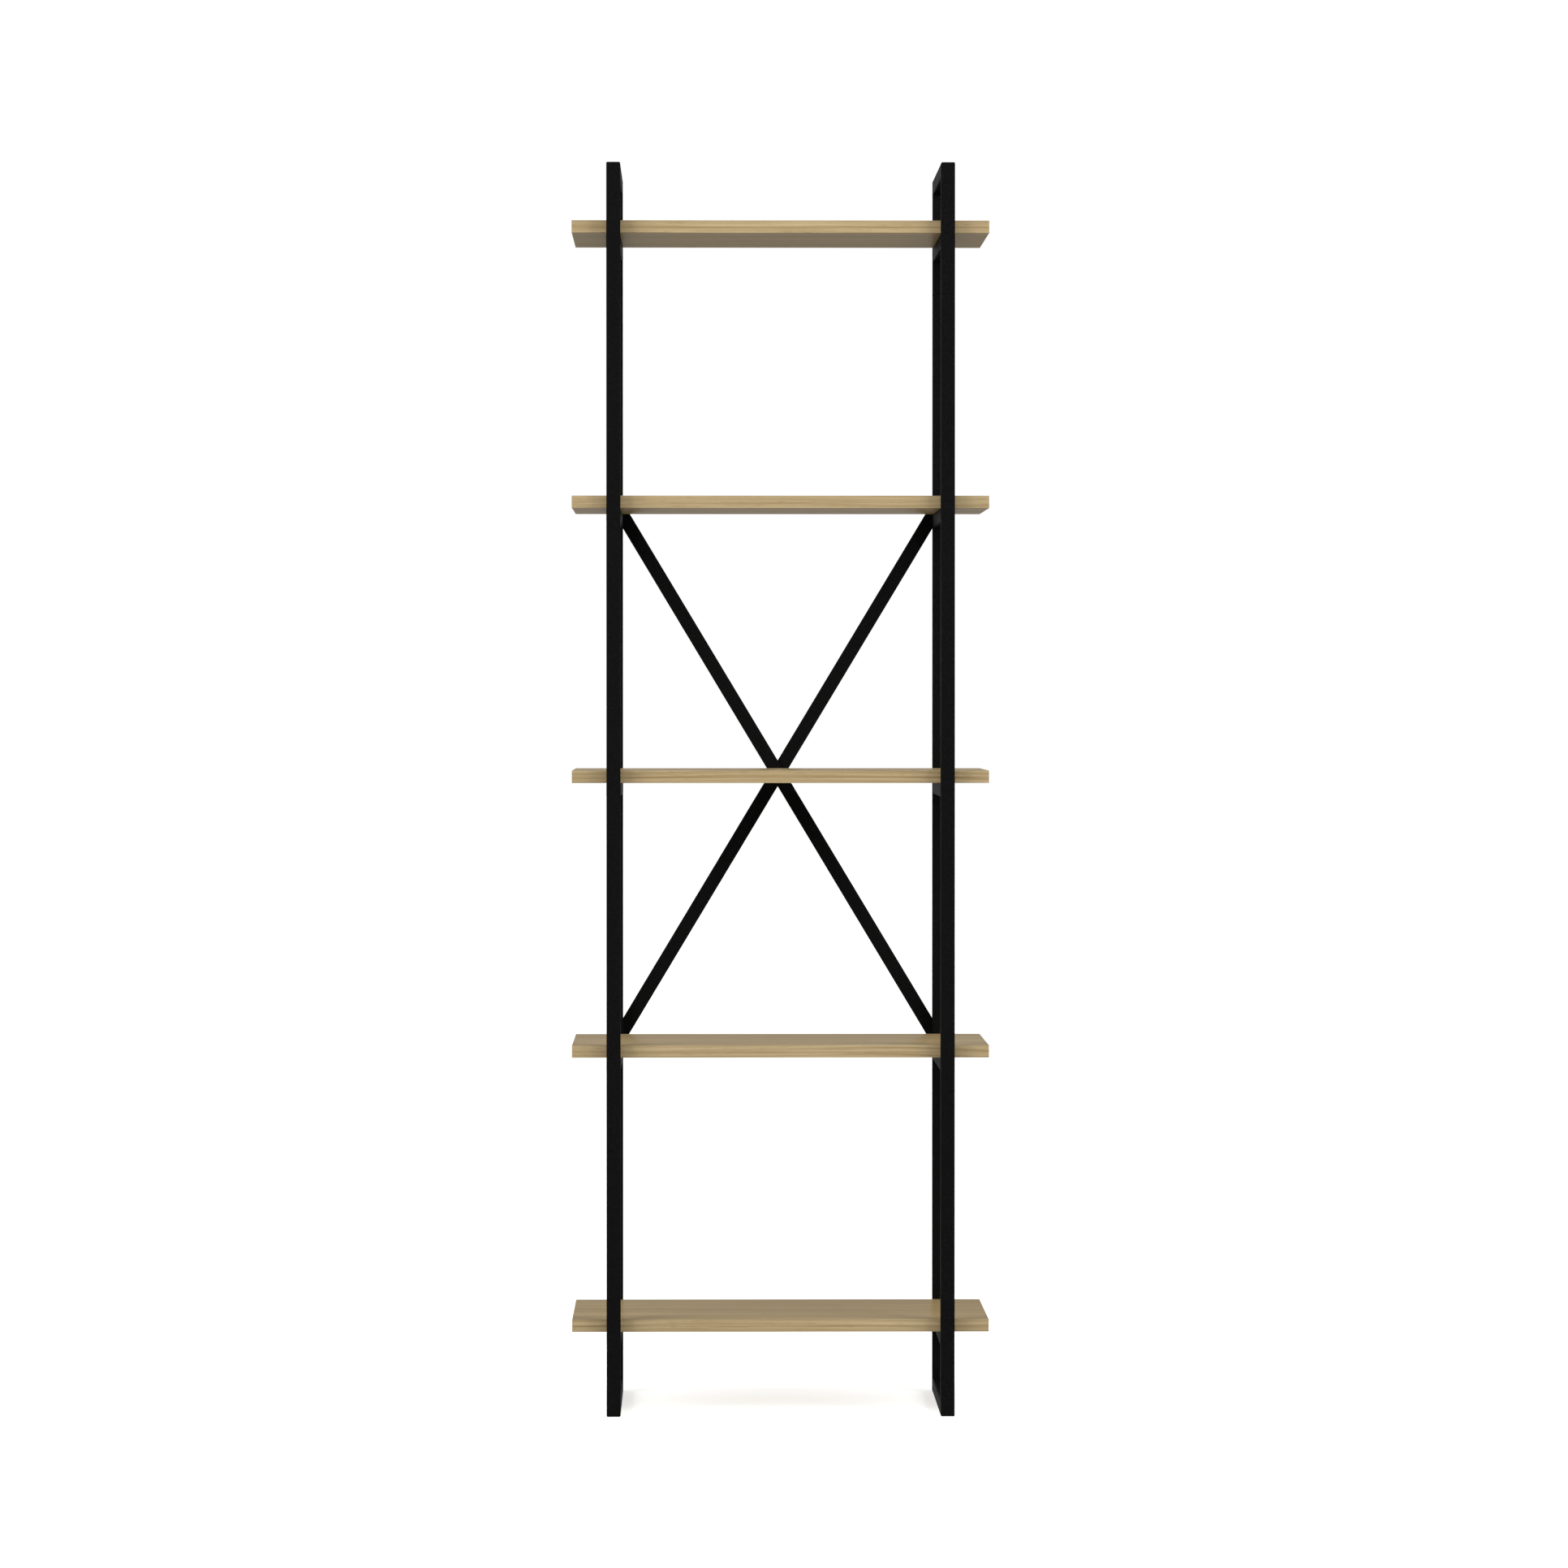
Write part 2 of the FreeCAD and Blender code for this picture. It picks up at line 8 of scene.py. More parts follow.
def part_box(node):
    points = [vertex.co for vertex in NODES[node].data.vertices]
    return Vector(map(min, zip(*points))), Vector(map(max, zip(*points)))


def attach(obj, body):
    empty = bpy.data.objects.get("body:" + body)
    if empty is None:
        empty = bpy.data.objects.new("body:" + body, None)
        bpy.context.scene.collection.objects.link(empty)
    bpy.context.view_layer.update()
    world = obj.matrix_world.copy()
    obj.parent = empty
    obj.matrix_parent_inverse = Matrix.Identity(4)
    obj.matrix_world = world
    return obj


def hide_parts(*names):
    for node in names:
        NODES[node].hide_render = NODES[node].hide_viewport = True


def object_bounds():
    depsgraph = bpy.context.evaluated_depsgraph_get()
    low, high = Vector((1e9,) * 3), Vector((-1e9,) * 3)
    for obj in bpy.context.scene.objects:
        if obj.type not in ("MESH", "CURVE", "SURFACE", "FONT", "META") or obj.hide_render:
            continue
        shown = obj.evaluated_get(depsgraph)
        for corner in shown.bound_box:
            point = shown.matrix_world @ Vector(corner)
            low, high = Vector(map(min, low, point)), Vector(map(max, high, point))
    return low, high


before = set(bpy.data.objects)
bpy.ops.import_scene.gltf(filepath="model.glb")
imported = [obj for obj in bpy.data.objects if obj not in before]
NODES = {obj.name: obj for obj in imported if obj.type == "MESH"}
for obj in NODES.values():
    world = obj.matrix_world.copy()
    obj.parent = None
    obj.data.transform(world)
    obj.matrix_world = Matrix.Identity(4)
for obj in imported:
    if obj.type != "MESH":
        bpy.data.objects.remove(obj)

bl_info = {
    "name": "Open Bookcase",
    "version": (1, 0, 0),
    "blender": (4, 5, 0),
    "location": "View3D > Sidebar > Bookcase",
    "description": "Finishes and small parts of an open bookcase with tube frames and oak decor shelves",
    "category": "Object",
}

MM = 0.001
CAD_LOW, CAD_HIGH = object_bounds()
SIDES = ("left", "right")
SHELVES = [number for number in range(1, len(NODES)) if f"shelf_{number}_board" in NODES]
LONG_BANDS = ("front_band", "rear_band")
END_BANDS = ("left_band", "right_band")
BARS = ("brace_straight_bar", "brace_joggled_bar")
BODY = "root"

# Finishes that more than one step uses.
COAT = "powder_coat_matt_black"
ZINC = "zinc_plated_passivated_steel"

# A curve turns smooth below this angle between its faces, and stays an edge above it.
SMOOTH_BELOW = math.radians(32)
# Heights closer than this are the same height.
TINY = 1e-6
# Points that a cut leaves closer than this are one point.
SAME_POINT = 0.004 * MM
# The two ways along Z, and how near to one of them the normal of a face that looks that way is.
UP, DOWN = 1, -1
LOOKING = 0.9


def middle_of(node):
    """The middle of a construction node."""
    low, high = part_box(node)
    return (low + high) / 2


def linear(code):
    """An sRGB hex colour as linear red, green and blue."""
    channels = [int(code[place : place + 2], 16) / 255 for place in (1, 3, 5)]
    return tuple(c / 12.92 if c <= 0.04045 else ((c + 0.055) / 1.055) ** 2.4 for c in channels)


def colour(name, description, code):
    """A colour property whose default is an sRGB hex value."""
    return bpy.props.FloatVectorProperty(
        name=name, description=description, subtype="COLOR", size=3, min=0, max=1, default=linear(code)
    )


def length(name, description, millimetres):
    """A length property whose default is in millimetres."""
    return bpy.props.FloatProperty(
        name=name, description=description, unit="LENGTH", subtype="DISTANCE", default=millimetres * MM
    )


def angle(name, description, degrees):
    """An angle property whose default is in degrees."""
    return bpy.props.FloatProperty(
        name=name, description=description, subtype="ANGLE", default=math.radians(degrees)
    )


def amount(name, description, default, unit="NONE"):
    """A number property that is never negative."""
    return bpy.props.FloatProperty(name=name, description=description, default=default, min=0, unit=unit)


class BookcaseColours(bpy.types.PropertyGroup):
    """Colours of the finishes."""

    coat: colour("Powder coat", "Black powder coat on tubes and bars", "#0e0e0e")
    # The crests of the coat's texture are painted lighter: a painted highlight for the light that its fine
    # relief would catch.
    coat_crest_painted_highlight: colour("Powder coat, crests", "Crests of the coat's fine texture", "#181818")
    oak_light: colour("Oak, light", "Early wood of the printed oak", "#a7936c")
    band_light: colour("Oak, bands", "Early wood of the edge bands, cut from a paler print", "#b2a07c")
    oak_dark: colour("Oak, dark", "Late wood and streaks of the printed oak", "#846f4c")
    oak_streak: colour("Oak, streak", "Brown streak along the edge bands", "#7d643e")
    oak_pore: colour("Oak, pores", "Open pores of the printed oak", "#6d5a3c")
    zinc: colour("Zinc", "Zinc plating of screws and nuts", "#b4b8bc")
    oxide: colour("Black oxide", "Oiled black oxide of the brace screws", "#232221")
    floor: colour("Floor", "Pale studio floor", "#f2f2f1")


class BookcaseSizes(bpy.types.PropertyGroup):
    """Sizes of the details."""

    weld_leg: length("Fillet weld", "Leg of a fillet weld in a square corner", 2.8)
    weld_wide: length("Seam weld, width", "Weld over the seam beside a rail end", 4.0)
    weld_proud: length("Seam weld, height", "How far a dressed seam weld stands out", 0.4)
    weld_ripple: length("Weld ripple", "From one ripple of a weld to the next", 1.1)
    recess_long: length("Cross recess, length", "Across the cross recess of a shelf screw", 4.4)
    recess_wide: length("Cross recess, width", "Width of each wing of the cross recess", 1.0)
    recess_deep: length("Cross recess, depth", "Depth of the cross recess", 1.7)
    socket_flats: length("Hexagon socket", "Brace screw, socket across flats", 4.0)
    socket_deep: length("Hexagon socket, depth", "Brace screw, depth of the socket", 2.0)


class BookcaseStage(bpy.types.PropertyGroup):
    """Camera and light."""

    distance: length("Camera distance", "Camera in front of the bookcase's middle", 9138.8)
    offset: length("Camera offset", "Camera to the left of the bookcase's middle", 120.6)
    eye: length("Camera height", "Camera above the floor", 1034.9)
    turn: angle("Camera turn", "To the right of straight ahead", 0.8006)
    tilt: angle("Camera tilt", "Down from level", 0.805)
    sensor: amount("Sensor", "Width of the camera's sensor, in millimetres", 36, "CAMERA")
    lens: amount("Lens", "Focal length on that sensor, in millimetres", 143.535, "CAMERA")
    softbox: amount("Softbox power", "Each of the two large soft lights, in watts", 106, "POWER")
    behind: amount("Room behind", "Brightness of the pale room behind the bookcase", 1.02)
    before: amount("Room before", "Brightness of the pale room before the bookcase", 1.1)
    above: amount("Above", "Brightness overhead, as a share of the walls'", 0.38)
    below: amount("Below", "Brightness from below, as a share of the walls'", 0.47)


def put(tree, kind, inputs=None, **settings):
    """Adds a node: settings are its properties, inputs are values or other nodes' outputs by socket."""
    made = tree.nodes.new(kind)
    for name, value in settings.items():
        setattr(made, name, value)
    for name, value in (inputs or {}).items():
        if isinstance(value, bpy.types.NodeSocket):
            tree.links.new(value, made.inputs[name])
        else:
            made.inputs[name].default_value = value
    return made


# Length of one ring or band of the wave pattern at a scale of 1.
WAVE_TURN = 2 * math.pi / 20
# Sockets of a colour mix, which share their names with the node's number and vector sockets.
MIX_FACTOR, MIX_A, MIX_B, MIX_RESULT = 0, 6, 7, 2


def new_material(name):
    """An empty material and its node tree."""
    material = bpy.data.materials.new(name)
    material.use_nodes = True
    material.node_tree.nodes.clear()
    return material, material.node_tree


def surface(tree, inputs):
    """Ends a material in one shader with these socket values and links."""
    shader = put(tree, "ShaderNodeBsdfPrincipled", inputs)
    put(tree, "ShaderNodeOutputMaterial", {"Surface": shader.outputs["BSDF"]})


def per(*millimetres):
    """Scale that makes one unit of a pattern this long along X, Y and Z."""
    return [1 / (size * MM) for size in millimetres]


def opaque(rgb):
    """A property's colour as a socket value."""
    return (*rgb, 1)


def powder_coat(colours):
    """Polyester powder, sprayed dry and baked: matt black and finely textured, with a faint sheen. The
    crests of its texture carry a painted highlight.
    """
    material, tree = new_material(COAT)
    place = put(tree, "ShaderNodeTexCoord").outputs["Object"]
    # The texture's grains are about 0.5 mm across. They are drawn at 1.1 mm, or no view would show them.
    grain_place = put(tree, "ShaderNodeMapping", {"Vector": place, "Scale": per(1.1, 1.1, 1.1)})
    grain = put(tree, "ShaderNodeTexNoise", {"Vector": grain_place.outputs[0], "Scale": 1, "Detail": 1})
    # The crests of the grain get the lighter colour: painted highlights on the relief, which the bump alone
    # does not show in this even light.
    crest = put(tree, "ShaderNodeMapRange", {"Value": grain.outputs[0], "From Min": 0.45, "From Max": 0.75})
    black = put(tree, "ShaderNodeMix", {MIX_FACTOR: crest.outputs[0], MIX_A: opaque(colours.coat),
                                        MIX_B: opaque(colours.coat_crest_painted_highlight)}, data_type="RGBA")
    # The powder lies thicker and smoother in clouds about a hand long.
    cloud_place = put(tree, "ShaderNodeMapping", {"Vector": place, "Scale": per(60, 60, 140)})
    cloud = put(tree, "ShaderNodeTexNoise", {"Vector": cloud_place.outputs[0], "Scale": 1, "Detail": 3})
    sheen = put(tree, "ShaderNodeMapRange", {"Value": cloud.outputs[0], "From Min": 0.3, "From Max": 0.7,
                                             "To Min": 0.4, "To Max": 0.48})
    bump = put(tree, "ShaderNodeBump", {"Height": grain.outputs[0], "Strength": 0.3, "Distance": 0.06 * MM})
    surface(tree, {
        "Base Color": black.outputs[MIX_RESULT],
        "Roughness": sheen.outputs[0],
        "Specular IOR Level": 0.0012,
        "Normal": bump.outputs[0],
    })
    return material


def centred(tree, node, turn=0):
    """Coordinates in metres from the middle of a node, turned about Z so that X runs along its grain."""
    place = put(tree, "ShaderNodeTexCoord").outputs["Object"]
    middle = Matrix.Rotation(turn, 3, "Z") @ middle_of(node)
    moved = put(tree, "ShaderNodeMapping", {"Vector": place, "Location": -middle, "Rotation": (0, 0, turn)})
    return moved.outputs[0]


def oak_print(tree, place, light, colours, seed, uneven):
    """Printed oak, its grain along the X of its place: colour, and how open the pores are.

    Light is the colour of its early wood, and uneven is how much its broad stretches differ.
    """
    # The grain drifts up to 16 mm sideways over a few hundred millimetres, as a trunk grows.
    drift_far = 16 * MM
    drift_place = put(tree, "ShaderNodeMapping", {"Vector": place, "Scale": per(420, 160, 160)})
    drift = put(tree, "ShaderNodeTexNoise",
                {"Vector": drift_place.outputs[0], "W": seed, "Scale": 1, "Detail": 1},
                noise_dimensions="4D")
    grown = put(tree, "ShaderNodeVectorMath",
                {0: drift.outputs["Color"], 1: (0, drift_far, drift_far), 2: place},
                operation="MULTIPLY_ADD")
    # Growth rings 7 mm apart about a heart under the board: long arches on its faces, lines on its edges.
    ring_wide = 7 * MM
    heart_aside = 45 * MM * math.sin(seed)
    heart_deep = 55 * MM
    heart = put(tree, "ShaderNodeMapping", {"Vector": grown.outputs[0], "Scale": (0.1, 1, 1),
                                            "Location": (0, heart_aside, heart_deep)})
    ring = put(tree, "ShaderNodeTexWave", {"Vector": heart.outputs[0], "Scale": WAVE_TURN / ring_wide,
                                           "Distortion": 3, "Detail": 2, "Detail Scale": 0.5},
               wave_type="RINGS", rings_direction="X", wave_profile="SAW")
    late = put(tree, "ShaderNodeMapRange", {"Value": ring.outputs["Fac"], "From Min": 0.3},
               interpolation_type="SMOOTHSTEP")
    # Lighter and darker stretches 30 to 60 mm wide, and fibres 2 to 4 mm wide and a hand or two long.
    broad_place = put(tree, "ShaderNodeMapping", {"Vector": grown.outputs[0], "Scale": per(900, 42, 42)})
    broad = put(tree, "ShaderNodeTexNoise",
                {"Vector": broad_place.outputs[0], "W": seed + 3, "Scale": 1, "Detail": 2},
                noise_dimensions="4D")
    fibre_place = put(tree, "ShaderNodeMapping", {"Vector": grown.outputs[0], "Scale": per(300, 3.6, 3.6)})
    fibre = put(tree, "ShaderNodeTexNoise", {"Vector": fibre_place.outputs[0], "W": seed + 7, "Scale": 1,
                                             "Detail": 3, "Roughness": 0.6}, noise_dimensions="4D")
    stretch = put(tree, "ShaderNodeMath",
                  {0: broad.outputs[0], 1: uneven, 2: (1 - uneven) / 2}, operation="MULTIPLY_ADD")
    late_share = 0.22
    figure = put(tree, "ShaderNodeMath",
                 {0: late.outputs[0], 1: late_share, 2: stretch.outputs[0]}, operation="MULTIPLY_ADD")
    tone = put(tree, "ShaderNodeMath", {0: figure.outputs[0], 1: fibre.outputs[0]}, operation="ADD")
    dark = put(tree, "ShaderNodeMapRange", {"Value": tone.outputs[0], "From Min": 0.75, "From Max": 1.5})
    wood = put(tree, "ShaderNodeMix", {MIX_FACTOR: dark.outputs[0], MIX_A: opaque(light),
                                       MIX_B: opaque(colours.oak_dark)}, data_type="RGBA")
    # Pores lie in the early wood and are about 0.3 mm wide. They are drawn 0.8 mm wide, or no view
    # would show them.
    pore_place = put(tree, "ShaderNodeMapping", {"Vector": grown.outputs[0], "Scale": per(18, 0.8, 0.8)})
    pore = put(tree, "ShaderNodeTexNoise",
               {"Vector": pore_place.outputs[0], "W": seed + 11, "Scale": 1, "Detail": 1},
               noise_dimensions="4D")
    dash = put(tree, "ShaderNodeMapRange",
               {"Value": pore.outputs[0], "From Min": 0.6, "From Max": 0.72, "To Max": 0.5})
    early = put(tree, "ShaderNodeMapRange", {"Value": late.outputs[0], "To Min": 1, "To Max": 0.25})
    gap = put(tree, "ShaderNodeMath", {0: dash.outputs[0], 1: early.outputs[0]}, operation="MULTIPLY")
    printed = put(tree, "ShaderNodeMix", {MIX_FACTOR: gap.outputs[0], MIX_A: wood.outputs[MIX_RESULT],
                                          MIX_B: opaque(colours.oak_pore)}, data_type="RGBA")
    return printed.outputs[MIX_RESULT], gap.outputs[0]


def melamine_oak(name, colours, node, seed):
    """Oak decor paper under pressed melamine on chipboard: silky, with a fine pressed pore."""
    material, tree = new_material(name)
    place = centred(tree, node)
    printed, pore = oak_print(tree, place, colours.oak_light, colours, seed, uneven=1)
    bump = put(tree, "ShaderNodeBump", {"Height": pore, "Strength": 0.3, "Distance": 0.08 * MM}, invert=True)
    # The press leaves the paper satin: at low angles it mirrors faintly what stands behind the shelf.
    silk = put(tree, "ShaderNodeMapRange", {"Value": pore, "To Min": 0.32, "To Max": 0.4})
    surface(tree, {
        "Base Color": printed,
        "Roughness": silk.outputs[0],
        "Specular IOR Level": 0.0018,
        "Normal": bump.outputs[0],
    })
    return material


def abs_oak(name, colours, node, turn, seed):
    """Printed ABS edge band, hot-glued and trimmed: the board's oak in a strip, with one brown streak."""
    material, tree = new_material(name)
    place = centred(tree, node, turn)
    printed, pore = oak_print(tree, place, colours.band_light, colours, seed, uneven=0.3)
    # The streak runs just under the middle of the band, sways by a few millimetres, and fades in and out.
    sway_far = 5 * MM
    streak_high = 1.5 * MM
    streak_half = 1.7 * MM
    sway_place = put(tree, "ShaderNodeMapping", {"Vector": place, "Scale": per(240, 60, 60)})
    sway = put(tree, "ShaderNodeTexNoise",
               {"Vector": sway_place.outputs[0], "W": seed, "Scale": 1, "Detail": 1},
               noise_dimensions="4D")
    height = put(tree, "ShaderNodeSeparateXYZ", {0: place})
    swayed = put(tree, "ShaderNodeMath",
                 {0: sway.outputs[0], 1: sway_far, 2: height.outputs["Z"]}, operation="MULTIPLY_ADD")
    away = put(tree, "ShaderNodeMath", {0: swayed.outputs[0], 1: streak_high}, operation="SUBTRACT")
    near = put(tree, "ShaderNodeMath", {0: away.outputs[0]}, operation="ABSOLUTE")
    streak = put(tree, "ShaderNodeMapRange",
                 {"Value": near.outputs[0], "From Max": streak_half, "To Min": 1, "To Max": 0},
                 interpolation_type="SMOOTHSTEP")
    fade_place = put(tree, "ShaderNodeMapping", {"Vector": place, "Scale": per(120, 60, 60)})
    fade = put(tree, "ShaderNodeTexNoise",
               {"Vector": fade_place.outputs[0], "W": seed + 5, "Scale": 1, "Detail": 1},
               noise_dimensions="4D")
    strength = put(tree, "ShaderNodeMapRange", {"Value": fade.outputs[0], "From Min": 0.35, "From Max": 0.65,
                                                "To Min": 0.15, "To Max": 0.7})
    brown = put(tree, "ShaderNodeMath", {0: streak.outputs[0], 1: strength.outputs[0]}, operation="MULTIPLY")
    streaked = put(tree, "ShaderNodeMix", {MIX_FACTOR: brown.outputs[0], MIX_A: printed,
                                           MIX_B: opaque(colours.oak_streak)}, data_type="RGBA")
    bump = put(tree, "ShaderNodeBump", {"Height": pore, "Strength": 0.2, "Distance": 0.05 * MM}, invert=True)
    silk = put(tree, "ShaderNodeMapRange", {"Value": pore, "To Min": 0.58, "To Max": 0.68})
    surface(tree, {
        "Base Color": streaked.outputs[MIX_RESULT],
        "Roughness": silk.outputs[0],
        "Specular IOR Level": 0.05,
        "Normal": bump.outputs[0],
    })
    return material


def zinc_plate(colours):
    """Zinc plated and passivated steel: pale, slightly blue, with a cloudy half-gloss."""
    material, tree = new_material(ZINC)
    place = put(tree, "ShaderNodeTexCoord").outputs["Object"]
    cloud_place = put(tree, "ShaderNodeMapping", {"Vector": place, "Scale": per(2.5, 2.5, 2.5)})
    cloud = put(tree, "ShaderNodeTexNoise", {"Vector": cloud_place.outputs[0], "Scale": 1, "Detail": 4})
    gloss = put(tree, "ShaderNodeMapRange", {"Value": cloud.outputs[0], "From Min": 0.3, "From Max": 0.7,
                                             "To Min": 0.26, "To Max": 0.42})
    surface(tree, {"Base Color": opaque(colours.zinc), "Metallic": 1, "Roughness": gloss.outputs[0]})
    return material


def black_oxide(colours):
    """Blackened and oiled steel: near black with a satin metal gloss."""
    material, tree = new_material("black_oxide_oiled_steel")
    place = put(tree, "ShaderNodeTexCoord").outputs["Object"]
    cloud_place = put(tree, "ShaderNodeMapping", {"Vector": place, "Scale": per(1.8, 1.8, 1.8)})
    cloud = put(tree, "ShaderNodeTexNoise", {"Vector": cloud_place.outputs[0], "Scale": 1, "Detail": 4})
    gloss = put(tree, "ShaderNodeMapRange", {"Value": cloud.outputs[0], "From Min": 0.3, "From Max": 0.7,
                                             "To Min": 0.34, "To Max": 0.5})
    surface(tree, {"Base Color": opaque(colours.oxide), "Metallic": 1, "Roughness": gloss.outputs[0]})
    return material


def pale_floor(colours):
    """Matt painted studio floor: it glows slightly to read white, and is clear from below."""
    material, tree = new_material("matt_studio_floor")
    white = opaque(colours.floor)
    matt = put(tree, "ShaderNodeBsdfPrincipled", {
        "Base Color": white,
        "Roughness": 0.9,
        "Specular IOR Level": 0.1,
        "Emission Color": white,
        "Emission Strength": 0.7,
    })
    clear = put(tree, "ShaderNodeBsdfTransparent")
    side = put(tree, "ShaderNodeNewGeometry")
    both = put(tree, "ShaderNodeMixShader",
               {0: side.outputs["Backfacing"], 1: matt.outputs[0], 2: clear.outputs[0]})
    put(tree, "ShaderNodeOutputMaterial", {"Surface": both.outputs[0]})
    return material


def shared(name, make, colours):
    """A finish that several steps use, made once."""
    return bpy.data.materials.get(name) or make(colours)


def paint(names, material):
    """Gives construction nodes a finish."""
    for name in names:
        for slot in NODES[name].material_slots:
            slot.material = material


def open_piece(name, add, **settings):
    """Starts a piece from a primitive, alone selected and open for modelling, its place in its mesh."""
    bpy.ops.object.select_all(action="DESELECT")
    add(**settings)
    piece = bpy.context.object
    piece.name = name
    piece.data.name = name
    bpy.ops.object.transform_apply(location=True, rotation=True, scale=True)
    bpy.ops.object.mode_set(mode="EDIT")
    return piece


def pick(piece, kind, wanted):
    """Selects in the open piece the VERT, EDGE or FACE elements that a test picks, and nothing else."""
    bpy.ops.mesh.select_mode(type=kind)
    bpy.ops.mesh.select_all(action="DESELECT")
    mesh = bmesh.from_edit_mesh(piece.data)
    for element in {"VERT": mesh.verts, "EDGE": mesh.edges, "FACE": mesh.faces}[kind]:
        if wanted(element):
            element.select_set(True)
    bmesh.update_edit_mesh(piece.data)


def looking(way):
    """A test for faces that look up or down."""
    return lambda face: face.normal.z * way > LOOKING


def at_height(height):
    """A test for edges that lie at a height."""
    return lambda edge: all(abs(vertex.co.z - height) < TINY for vertex in edge.verts)


def draw_out(steps):
    """Extrudes what is selected along Z, step by step: how far, and how much wider about the Z axis."""
    for far, wider in steps:
        bpy.ops.mesh.extrude_region_move(TRANSFORM_OT_translate={"value": (0, 0, far)})
        bpy.ops.transform.resize(value=(wider, wider, 1), center_override=(0, 0, 0))


def close_piece():
    """Ends modelling, with all faces outwards."""
    bpy.ops.mesh.select_all(action="SELECT")
    bpy.ops.mesh.normals_make_consistent(inside=False)
    bpy.ops.object.mode_set(mode="OBJECT")


def carve(piece, cutter, operation="DIFFERENCE"):
    """Cuts a piece with a cutter, or keeps what both hold, and removes the cutter."""
    bpy.context.view_layer.objects.active = piece
    modifier = piece.modifiers.new("Carve", "BOOLEAN")
    modifier.operation = operation
    modifier.object = cutter
    modifier.solver = "EXACT"
    bpy.ops.object.modifier_apply(modifier=modifier.name)
    bpy.data.objects.remove(cutter)
    bpy.ops.object.mode_set(mode="EDIT")
    bpy.ops.mesh.select_all(action="SELECT")
    bpy.ops.mesh.remove_doubles(threshold=SAME_POINT)
    bpy.ops.mesh.dissolve_degenerate(threshold=SAME_POINT)
    close_piece()


def copies(name, master, places):
    """One piece of copies of a master, each with its own mesh moved to its place."""
    bpy.ops.object.select_all(action="DESELECT")
    for place in places:
        copy = master.copy()
        copy.data = master.data.copy()
        copy.data.transform(place)
        bpy.context.collection.objects.link(copy)
        copy.select_set(True)
        bpy.context.view_layer.objects.active = copy
    bpy.ops.object.join()
    piece = bpy.context.object
    piece.name = name
    piece.data.name = name
    return piece


def settle(piece, material, slot, *replaced):
    """Gives a finished piece its material and smooth curves, and lets it ride on the frame."""
    piece.data.materials.clear()
    piece.data.materials.append(material)
    bpy.ops.object.select_all(action="DESELECT")
    piece.select_set(True)
    bpy.context.view_layer.objects.active = piece
    bpy.ops.object.shade_smooth_by_angle(angle=SMOOTH_BELOW)
    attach(piece, BODY)
    if replaced:
        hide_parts(*replaced)


def ripple(bead, pitch, long):
    """Turns the open outline of a weld into a rippled bead along Z with rounded ends."""
    # Each ripple narrows to its waist over most of its pitch, and each end closes over half a pitch.
    waist = 0.84
    waist_at = 0.7
    end_long = 0.5
    end_small = 0.6
    bpy.ops.mesh.select_all(action="SELECT")
    draw_out([(pitch * waist_at, waist), (pitch * (1 - waist_at), 1 / waist)])
    bpy.ops.object.mode_set(mode="OBJECT")
    row = bead.modifiers.new("Ripples", "ARRAY")
    row.count = max(2, round(long / pitch) - 1)
    row.use_relative_offset = False
    row.use_constant_offset = True
    row.constant_offset_displace = (0, 0, pitch)
    row.use_merge_vertices = True
    row.merge_threshold = pitch / 100
    bpy.ops.object.modifier_apply(modifier=row.name)
    bpy.ops.object.mode_set(mode="EDIT")
    top = max(vertex.co.z for vertex in bmesh.from_edit_mesh(bead.data).verts)
    for level, way in ((0, DOWN), (top, UP)):
        pick(bead, "EDGE", at_height(level))
        draw_out([(way * pitch * end_long, end_small)])
        bpy.ops.mesh.edge_face_add()
    bpy.ops.mesh.select_all(action="SELECT")
    bpy.ops.transform.translate(value=(0, 0, -top / 2))
    close_piece()


class SideFrames(bpy.types.Operator):
    """Coats the tubes of both side frames."""

    bl_idname = "bookcase.side_frames"
    bl_label = "Side frames"

    def execute(self, context):
        tubes = [name for name in NODES if name.startswith(SIDES) and name.endswith(("post", "rail"))]
        tubes += [f"{side}_shelf_rail_{number}" for side in SIDES for number in SHELVES]
        paint(tubes, shared(COAT, powder_coat, context.scene.bookcase_colours))
        return {"FINISHED"}


